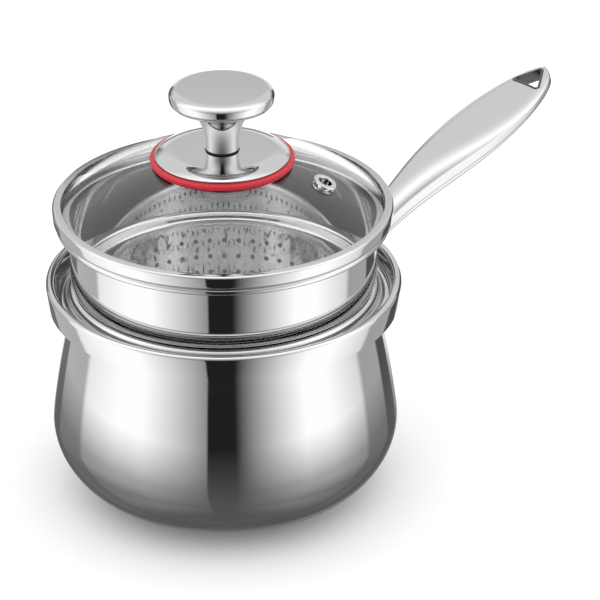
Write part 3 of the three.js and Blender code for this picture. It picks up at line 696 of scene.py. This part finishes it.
def handle_section(distance, inset, part, seam_gap):
    """A crown on upright sides above the seam, and a shallow belly below it, drawn in by an inset."""
    half_width = handle_half_width(distance) - inset
    thickness = handle_thickness(distance)
    side = thickness * HANDLE_SIDE
    crown = thickness * (1 - HANDLE_SEAM) - side - inset
    belly = thickness * HANDLE_SEAM - inset
    turns = [pi * i / HANDLE_STEPS for i in range(HANDLE_STEPS + 1)]
    above = [(squared(cos(a)) * half_width, side + squared(sin(a)) * crown) for a in turns]
    below = [(-squared(cos(a), BELLY_SQUARENESS) * half_width, -squared(sin(a), BELLY_SQUARENESS) * belly)
             for a in turns]
    if part == "whole":
        return above + below
    if part == "upper":
        return [(half_width, seam_gap), *above, (-half_width, seam_gap)]
    return [(x, min(y, -seam_gap)) for x, y in below]


def handle_loft(name, start, end, inset, part, seam_gap=0.0):
    taper_end = HANDLE_LENGTH - HANDLE_TIP
    straight = [taper_end * i / HANDLE_STATIONS for i in range(HANDLE_STATIONS)]
    rounded = [taper_end + HANDLE_TIP * sin(pi / 2 * i / TIP_STATIONS) for i in range(TIP_STATIONS)]
    first, last = start + STATION_GAP[0], end - STATION_GAP[1]
    stations = [start, *[d for d in straight + rounded if first < d < last], end]
    sections = []
    for distance in stations:
        up, _, point = handle_place(distance)
        section = handle_section(distance, inset, part, seam_gap)
        sections.append([point + ACROSS * x + up * y for x, y in section])
    return lofted(name, sections)


def hole_outline(inset, level):
    """Round-cornered triangle on the handle near its tip, drawn in by an inset, at a level over the seam."""
    up, along, point = handle_place(HANDLE_LENGTH - HANG_HOLE_FROM_TIP)
    half = HANG_HOLE_WIDTH / 2
    corners = [Vector((half, 0)), Vector((0, HANG_HOLE_LENGTH)), Vector((-half, 0))]
    outline = []
    for i, corner in enumerate(corners):
        into = corner - corners[i - 1]
        out = corners[(i + 1) % 3] - corner
        start = degrees(atan2(into.y, into.x)) - 90
        turn = (degrees(atan2(out.y, out.x)) - 90 - start) % 360
        outline += arc(corner, HANG_HOLE_ROUND - inset, start, start + turn, HANG_HOLE_STEPS)
    return [point + ACROSS * x + along * y + up * level for x, y in outline]


def sleeve(name, loops):
    """Ring-shaped piece through closed loops of equal count, the last joined to the first."""
    count = len(loops[0])
    points = [p for loop in loops for p in loop]
    faces = []
    for i in range(len(loops)):
        k = (i + 1) % len(loops)
        for j in range(count):
            n = (j + 1) % count
            faces.append([i * count + j, i * count + n, k * count + n, k * count + j])
    return mesh_object(name, points, faces)


def make_handle():
    """Two hollow shells, cut off along the pot's wall, and a lining in the hang hole."""
    past = HANDLE_ROOT_REACH + SADDLE_SHEET
    end = HANDLE_LENGTH - TIP_FLAT
    line = beside(without_repeats(upper_wall()), -(SADDLE_GAP + SADDLE_SHEET + SEAT))
    near_pot = turned("near_pot", [(0, line[0][1]), *line, (0, line[-1][1])])
    hollow = handle_loft("handle_hollow", -past - 1, HANDLE_LENGTH - TIP_WALL, HANDLE_SHEET, "whole")
    deep = 2 * HANDLE_THICKNESS
    hole = lofted("hang_hole", [hole_outline(0, -deep), hole_outline(0, deep)])
    upper = handle_loft("handle_back", -past, end, 0, "upper", SEAT / 2)
    lower = handle_loft("handle_belly", -past, end, 0, "lower", SEAT / 2)
    for shell, node in ((upper, "handle_upper_shell"), (lower, "handle_lower_shell")):
        cut(shell, hollow, hole, near_pot)
        fit(shell, "pot", SATIN_STEEL, "satin_steel", node)
    remove(near_pot, hollow, hole)

    high = HANDLE_THICKNESS
    outer, inner = SEAT, SEAT + LINER_WALL
    eye = sleeve("hanger_eye", [hole_outline(outer, -high), hole_outline(outer, high),
                                hole_outline(inner, high), hole_outline(inner, -high)])
    skin = handle_loft("handle_skin", HANDLE_LENGTH - HANDLE_TIP, end, -LINER_PROUD, "whole")
    cut(eye, skin, operation="INTERSECT")
    remove(skin)
    # The lining's dark grey is painted shade inside the hang hole.
    fit(eye, "pot", HOLE_SHADE_STEEL, "satin_steel", "hang_hole_liner")


# Lid
def at_vent(made):
    """Stands a piece, drawn upright round the axis at z = 0, on the glass at the vent."""
    lean = Matrix.Rotation(asin(VENT_OFFSET / GLASS_DOME), 4, "Y")
    place = (Matrix.Translation((0, 0, DOME_Z * MM)) @ Matrix.Rotation(VENT_BEARING, 4, "Z") @ lean
             @ Matrix.Translation((0, 0, GLASS_DOME * MM)))
    made.data.transform(place)
    return made


def make_lid_rim():
    """A lip over the glass, an upright band, a shelf on the steamer's bead and a skirt inside it."""
    half = LID_SHEET / 2
    band = LID_RADIUS - half
    skirt = STEAMER_RADIUS - STEAMER_SHEET - LID_PLAY - half
    line = [(LID_LIP_RADIUS, LID_TOP_Z - half),
            *arc((band - LID_ROLL, LID_TOP_Z - half - LID_ROLL), LID_ROLL, 90, 0),
            *arc((band - LID_HEM, SHELF_Z + half + LID_HEM), LID_HEM, 0, -90),
            *arc((skirt + LID_SHEET, SHELF_Z + half - LID_SHEET), LID_SHEET, 90, 180),
            (skirt, SHELF_Z - LID_SKIRT)]
    fit(turned("lid_band", sheet(line, LID_SHEET)), "lid", MIRROR_STEEL, "polished_steel", "lid_rim")


def make_lid_glass():
    """A dome that dips to a flat seat under the plate, with bores for the screw and the vent."""
    seat = PLATE_Z - SEAT
    start, edge = (degrees(acos(radius / GLASS_DOME)) for radius in (GLASS_SHOULDER, GLASS_RADIUS))
    dome_line = arc((0, DOME_Z), GLASS_DOME, start, edge, GLASS_STEPS)
    shoulder = dome_line[0]
    turn_in = bend((PLATE_FLAT, seat), (PLATE_FLAT + GLASS_SEAT_BEND, seat),
                   (GLASS_SHOULDER - GLASS_SHOULDER_BEND, shoulder[1] + GLASS_SHOULDER_RISE), shoulder,
                   GLASS_TURN_STEPS)
    top = without_repeats([(GLASS_BORE, seat), *turn_in, *dome_line])
    dome = turned("lid_dome", top + beside(top, -GLASS_THICKNESS)[::-1])
    reach = DRILL_REACH * GLASS_THICKNESS
    bore = VENT_BORE + VENT_WALL + SEAT
    section = [(0, -reach), (bore, -reach), (bore, reach), (0, reach)]
    drill = at_vent(turned("vent_drill", section, VENT_DRILL_STEPS))
    cut(dome, drill)
    remove(drill)
    fit(dome, "lid", GLASS, "lid_glass", "lid_glass")


def make_vent():
    """Eyelet with a rounded brim on the glass, a tube through it and a flange below."""
    tube = VENT_BORE + VENT_WALL
    low = -GLASS_THICKNESS - 2 * SEAT
    high = SEAT
    bead = VENT_WALL
    brim = VENT_FLANGE - bead
    section = [*arc((VENT_BORE + bead, high + VENT_LIP), bead, 180, 90), *arc((brim, high), bead, 90, 0),
               (tube, high), (tube, low), (brim, low), (brim, low - bead), (VENT_BORE, low - bead)]
    made = at_vent(turned("vent_ring", section, VENT_STEPS))
    fit(made, "lid", MIRROR_STEEL, "polished_steel", "vent_eyelet")


# Knob
def make_plate_ring():
    """Soft ring between glass and plate, whose underside follows the dome."""
    inner = PLATE_RADIUS - PLATE_EDGE + SEAT
    under = dome_top(RING_RADIUS) + SEAT
    soft = RING_ROUND
    edge = arc((RING_RADIUS - soft, RING_TOP_Z - soft), soft, 0, 90)
    section = [(inner, RING_UNDER_Z), (GLASS_SHOULDER, RING_UNDER_Z), (RING_RADIUS - soft / 2, under),
               (RING_RADIUS, under + soft), *edge, (inner, RING_TOP_Z)]
    fit(turned("silicone_ring", section), "lid", RED_SILICONE, "red_silicone", "plate_ring")


def make_plate():
    """A dished pan under a flat cover with a long rounded edge, and a hole in it for the gasket."""
    under = PLATE_Z + PLATE_DISH
    brim = PLATE_RADIUS - PLATE_EDGE
    pan = bend((PLATE_FLAT, PLATE_Z), (PLATE_FLAT + PLATE_BEND, PLATE_Z), (brim - PLATE_BEND, under),
               (brim, under))
    hem = PLATE_SHEET / 2
    edge = PLATE_RADIUS - hem
    cover_top = SPACER_Z + SPACER_HEIGHT / 2
    fall = degrees(asin((edge - COVER_FLAT) / COVER_ROUND))
    hole = SPACER_RADIUS + SEAT
    middle = (COVER_FLAT, cover_top - COVER_ROUND)
    cover = [*arc(middle, COVER_ROUND, 90 - fall, 90, LONG_BEND), (hole, cover_top)]
    hollow = [(hole, cover_top - PLATE_SHEET), (COVER_FLAT, cover_top - PLATE_SHEET)]
    floor = [(x, z + PLATE_SHEET) for x, z in reversed(pan) if x < COVER_FLAT]
    section = [(SCREW_BORE, PLATE_Z), *pan, *arc((edge, under + hem), hem, -90, PLATE_HEM_END), *cover,
               *hollow, *floor, (SCREW_BORE, PLATE_Z + PLATE_SHEET)]
    fit(turned("steam_plate", without_repeats(section)), "lid", MIRROR_STEEL, "polished_steel", "knob_plate")


def make_knob():
    """A foot inside the plate, a gasket in the plate's hole, and the grip."""
    top = FOOT_Z + FOOT_HEIGHT
    flare = bend((FOOT_RADIUS, FOOT_Z + FOOT_EDGE), (FOOT_THROAT_RADIUS, FOOT_Z + FOOT_THROAT_HEIGHT),
                 (STEM_RADIUS, top - FOOT_STEM), (STEM_RADIUS, top))
    foot = turned("knob_trumpet", [(SCREW_BORE, FOOT_Z), (FOOT_RADIUS, FOOT_Z), *flare, (SCREW_BORE, top)])
    fit(foot, "lid", MIRROR_STEEL, "polished_steel", "knob_foot")

    soft = SPACER_HEIGHT / 2
    edge = arc((SPACER_RADIUS - soft, SPACER_Z + soft), soft, -90, 90)
    spacer = turned("knob_gasket", [(SCREW_BORE, SPACER_Z), *edge, (SCREW_BORE, SPACER_Z + SPACER_HEIGHT)])
    fit(spacer, "lid", BLACK_SILICONE, "black_silicone", "knob_spacer")

    crown_top = KNOB_Z + KNOB_HEIGHT
    widest = crown_top - KNOB_CROWN
    under = (KNOB_UNDER_RADIUS, widest - KNOB_RIM)
    bore_top = KNOB_Z + SCREW_BITE + SEAT
    stem = bend((STEM_RADIUS, KNOB_Z), (STEM_RADIUS, KNOB_Z + KNOB_STEM),
                (KNOB_THROAT_RADIUS, KNOB_Z + KNOB_THROAT_HEIGHT), under, KNOB_STEM_STEPS)
    rim = bend(under, (KNOB_RADIUS, under[1]), (KNOB_RADIUS, widest - KNOB_RIM / 2), (KNOB_RADIUS, widest),
               KNOB_EDGE_STEPS)
    shoulder = (KNOB_FACE_RADIUS + KNOB_RADIUS) / 2
    crown = bend((KNOB_RADIUS, widest), (KNOB_RADIUS, crown_top - KNOB_CROWN / 2), (shoulder, crown_top),
                 (KNOB_FACE_RADIUS, crown_top), KNOB_EDGE_STEPS)
    section = [(0, bore_top), (SCREW_BORE, bore_top), (SCREW_BORE, KNOB_Z), *stem, *rim, *crown,
               (0, crown_top)]
    fit(turned("knob_grip", without_repeats(section)), "lid", MIRROR_STEEL, "satin_steel", "knob_head")


def dress_kept_nodes():
    """The pieces that stay as they are in the frame get their finish."""
    finishes = {"base_cover": MIRROR_STEEL, "base_core_disc": CORE_ALUMINIUM, "handle_bracket": SATIN_STEEL,
                "clamp_plate": MIRROR_STEEL, "screw_washer": MIRROR_STEEL, "knob_screw": MIRROR_STEEL}
    for name, material in finishes.items():
        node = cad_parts[name]
        node.data.materials.clear()
        node.data.materials.append(material)


# Studio
def fill_ramp(ramp, stops):
    """Sets a colour ramp's grey stops, given as (position, level)."""
    elements = ramp.color_ramp.elements
    elements[0].position, elements[1].position = stops[0][0], stops[-1][0]
    for i, (position, level) in enumerate(stops):
        stop = elements[0] if i == 0 else elements[-1] if i == len(stops) - 1 else elements.new(position)
        stop.color = (level, level, level, 1)


def make_camera():
    data = bpy.data.cameras.new("photo_camera")
    data.sensor_width = SENSOR
    data.lens = CAMERA_FOCAL_PX / PHOTO_PX * SENSOR
    data.clip_end = CAMERA_CLIP
    level = Vector((sin(CAMERA_BEARING), cos(CAMERA_BEARING), 0))
    right = Vector((cos(CAMERA_BEARING), -sin(CAMERA_BEARING), 0))
    ahead = level * cos(CAMERA_PITCH) - Vector((0, 0, sin(CAMERA_PITCH)))
    up = right.cross(ahead)
    place = right * CAMERA_RIGHT - level * CAMERA_BACK + Vector((0, 0, LIP_Z + CAMERA_ABOVE_LIP))
    turn = Matrix((right, up, -ahead)).transposed().to_4x4()
    camera = bpy.data.objects.new("photo_camera", data)
    bpy.context.scene.collection.objects.link(camera)
    camera.matrix_world = Matrix.Translation(place * MM) @ turn
    bpy.context.scene.camera = camera


# Lamp plan that mirrors see, as degrees round from the direction of the camera and brightness there:
# a white wall behind, flags and grey walls at the sides, two softboxes with straight fades, a gap in front
STUDIO = [(-180, 1.0), (-165, 1.0), (-162, 0.2), (-143, 0.2), (-141, 0.6), (-110, 0.6), (-106, 1.2),
          (-75, 1.5), (-55, 1.5), (-11, 0.4), (-10, 0.02), (8, 0.02), (56, 1.5), (75, 1.5), (106, 1.0),
          (110, 0.5), (135, 0.5), (138, 0.1), (157, 0.1), (160, 1.0), (180, 1.0)]
# One lamp overhead, by how far a direction leans away from the camera
SKY = [(-1.0, 0.05), (-0.5, 1.0), (-0.1, 1.6), (0.1, 1.6), (0.5, 0.9), (0.85, 0.9), (1.0, 0.5)]
SKY_STARTS = (0.1, 0.4)  # upward shares of a direction between which the sky takes over
TABLE_ENDS = (-0.97, -0.8)  # upward shares between which the dim table gives way
TABLE_LEVEL = 0.12
MATT_FILL = 0.4  # more light on matt surfaces
FLOOR_SIZE = 4000.0
FLOOR_DROP = 0.2

# Cards that only mirrors see, glowing grey to paint shade into the reflections: height, and the share that
# the card covers there
SKIRT = [(0.0, 0.9), (35.0, 0.7), (65.0, 0.0)]
SKIRT_RADIUS = 130.0
TABLE_SHADE_LEVEL = 0.135
SKIRT_STEPS = 96
BACK_CARD = [(12.0, 0.0), (34.0, 1.0), (62.0, 1.0), (92.0, 0.0)]
BACK_CARD_RADIUS = 150.0
BACK_CARD_RIGHT = radians(16)
BACK_CARD_LEFT = radians(42)
TROUGH_SHADE_LEVEL = 0.1
BACK_CARD_STEPS = 48


def make_floor():
    """White paper, matt, which takes the pot's soft shadow. Mirrors don't see it."""
    material, tree = new_material("white_paper_floor")
    shader = add(tree, "ShaderNodeBsdfDiffuse", Color=linear("#fafafa"))
    finish_material(tree, shader)
    signs = [(-1, -1), (1, -1), (1, 1), (-1, 1)]
    corners = [(x * FLOOR_SIZE, y * FLOOR_SIZE, -FLOOR_DROP) for x, y in signs]
    floor = mesh_object("paper_floor", corners, [[0, 1, 2, 3]])
    floor.data.materials.append(material)
    floor.visible_glossy = False


def fade_card(tree, cover, base, level):
    """A card's glow, thinned by its cover, which is given as (height over the base, share)."""
    place = add(tree, "ShaderNodeTexCoord").outputs["Object"]
    height = add(tree, "ShaderNodeSeparateXYZ", Vector=place).outputs["Z"]
    low, high = cover[0][0], cover[-1][0]
    share = add(tree, "ShaderNodeMapRange", Value=height, From_Min=(base + low) * MM,
                From_Max=(base + high) * MM)
    ramp = add(tree, "ShaderNodeValToRGB", Fac=share)
    fill_ramp(ramp, [((z - low) / (high - low), amount) for z, amount in cover])
    glow = add(tree, "ShaderNodeEmission", Color=(1, 1, 1, 1), Strength=level)
    clear = add(tree, "ShaderNodeBsdfTransparent")
    thinned = add(tree, "ShaderNodeMixShader", Fac=ramp.outputs["Color"], _1=clear, _2=glow)
    finish_material(tree, thinned)


def mirrors_only(card):
    """Stage card that only reflections see."""
    for kind in ("camera", "diffuse", "transmission", "shadow"):
        setattr(card, "visible_" + kind, False)


def make_table_shade_skirt():
    """Low grey card round the pot that only mirrors see: a painted reflection of the shaded table at its
    foot, which thins out upwards.
    """
    material, tree = new_material("grey_card")
    # Its dim glow is painted shade of the table, seen in the pot's reflections.
    fade_card(tree, SKIRT, 0.0, TABLE_SHADE_LEVEL)
    count = SKIRT_STEPS
    rings = [(FLOOR_RADIUS, 0.0), (SKIRT_RADIUS, 0.0), (SKIRT_RADIUS, SKIRT[-1][0])]
    turns = [2 * pi * i / count for i in range(count)]
    points = [(r * cos(a), r * sin(a), z) for r, z in rings for a in turns]
    faces = [[k + i, k + (i + 1) % count, k + count + (i + 1) % count, k + count + i]
             for k in (0, count) for i in range(count)]
    skirt = mesh_object("grey_skirt", points, faces)
    skirt.data.materials.append(material)
    mirrors_only(skirt)


def make_trough_shade_card():
    """Dark card behind the pot, low enough that only the trough round the steamer mirrors it: painted shade
    in the trough.
    """
    material, tree = new_material("dark_card")
    # Its faint glow is painted shade, seen only as a dark reflection in the trough.
    fade_card(tree, BACK_CARD, LIP_Z, TROUGH_SHADE_LEVEL)
    count = BACK_CARD_STEPS
    first = pi / 2 - CAMERA_BEARING - BACK_CARD_RIGHT
    bearings = [first + (BACK_CARD_RIGHT + BACK_CARD_LEFT) * i / count for i in range(count + 1)]
    points = [(BACK_CARD_RADIUS * cos(a), BACK_CARD_RADIUS * sin(a), LIP_Z + z)
              for z in (BACK_CARD[0][0], BACK_CARD[-1][0]) for a in bearings]
    faces = [[i, i + 1, count + i + 2, count + i + 1] for i in range(count)]
    card = mesh_object("back_card", points, faces)
    card.data.materials.append(material)
    mirrors_only(card)


def make_world():
    """White to the eye; mirrors see a tent with two softboxes, a black gap at the camera and a dim floor."""
    world = bpy.data.worlds.new("studio")
    bpy.context.scene.world = world
    world.use_nodes = True
    tree = world.node_tree
    tree.nodes.clear()
    soft = {"interpolation_type": "SMOOTHSTEP"}
    way = add(tree, "ShaderNodeTexCoord").outputs["Generated"]
    turn = add(tree, "ShaderNodeVectorRotate", {"rotation_type": "Z_AXIS"}, Vector=way, Angle=CAMERA_BEARING)
    parts = add(tree, "ShaderNodeSeparateXYZ", Vector=turn).outputs

    nearer = add(tree, "ShaderNodeMath", {"operation": "MULTIPLY"}, _0=parts["Y"], _1=-1.0)
    bearing = add(tree, "ShaderNodeMath", {"operation": "ARCTAN2"}, _0=parts["X"], _1=nearer)
    turns = add(tree, "ShaderNodeMath", {"operation": "DIVIDE"}, _0=bearing, _1=2 * pi)
    round_share = add(tree, "ShaderNodeMath", {"operation": "ADD"}, _0=turns, _1=0.5)
    tent = add(tree, "ShaderNodeValToRGB", Fac=round_share)
    fill_ramp(tent, [((angle + 180) / 360, level) for angle, level in STUDIO])
    dimmed = add(tree, "ShaderNodeMapRange", soft, Value=parts["Z"], From_Min=TABLE_ENDS[0],
                 From_Max=TABLE_ENDS[1], To_Min=TABLE_LEVEL, To_Max=1.0)
    level = add(tree, "ShaderNodeMath", {"operation": "MULTIPLY"}, _0=tent.outputs["Color"], _1=dimmed)

    half_lean = add(tree, "ShaderNodeMath", {"operation": "MULTIPLY"}, _0=parts["Y"], _1=0.5)
    lean_share = add(tree, "ShaderNodeMath", {"operation": "ADD"}, _0=half_lean, _1=0.5)
    sky = add(tree, "ShaderNodeValToRGB", Fac=lean_share)
    fill_ramp(sky, [((lean + 1) / 2, bright) for lean, bright in SKY])
    above = add(tree, "ShaderNodeMapRange", soft, Value=parts["Z"], From_Min=SKY_STARTS[0],
                From_Max=SKY_STARTS[1], To_Min=0.0, To_Max=1.0)
    studio = add(tree, "ShaderNodeMix", {"data_type": "FLOAT"}, Factor=above, A=level, B=sky.outputs["Color"])

    path = add(tree, "ShaderNodeLightPath").outputs
    mirrored = add(tree, "ShaderNodeMath", {"operation": "MINIMUM"}, _0=path["Glossy Depth"], _1=1.0)
    seen = add(tree, "ShaderNodeMix", {"data_type": "FLOAT"}, Factor=mirrored, A=1.0, B=studio)
    fill = add(tree, "ShaderNodeMath", {"operation": "MULTIPLY"}, _0=path["Is Diffuse Ray"], _1=MATT_FILL)
    strength = add(tree, "ShaderNodeMath", {"operation": "ADD"}, _0=seen, _1=fill)
    background = add(tree, "ShaderNodeBackground", Color=(1, 1, 1, 1), Strength=strength)
    add(tree, "ShaderNodeOutputWorld", Surface=background)


make_camera()
make_pot()
make_handle()
make_steamer()
make_lid_rim()
make_lid_glass()
make_vent()
make_plate_ring()
make_plate()
make_knob()
dress_kept_nodes()
make_floor()
make_table_shade_skirt()
make_trough_shade_card()
make_world()
bpy.context.scene.view_settings.view_transform = "Standard"
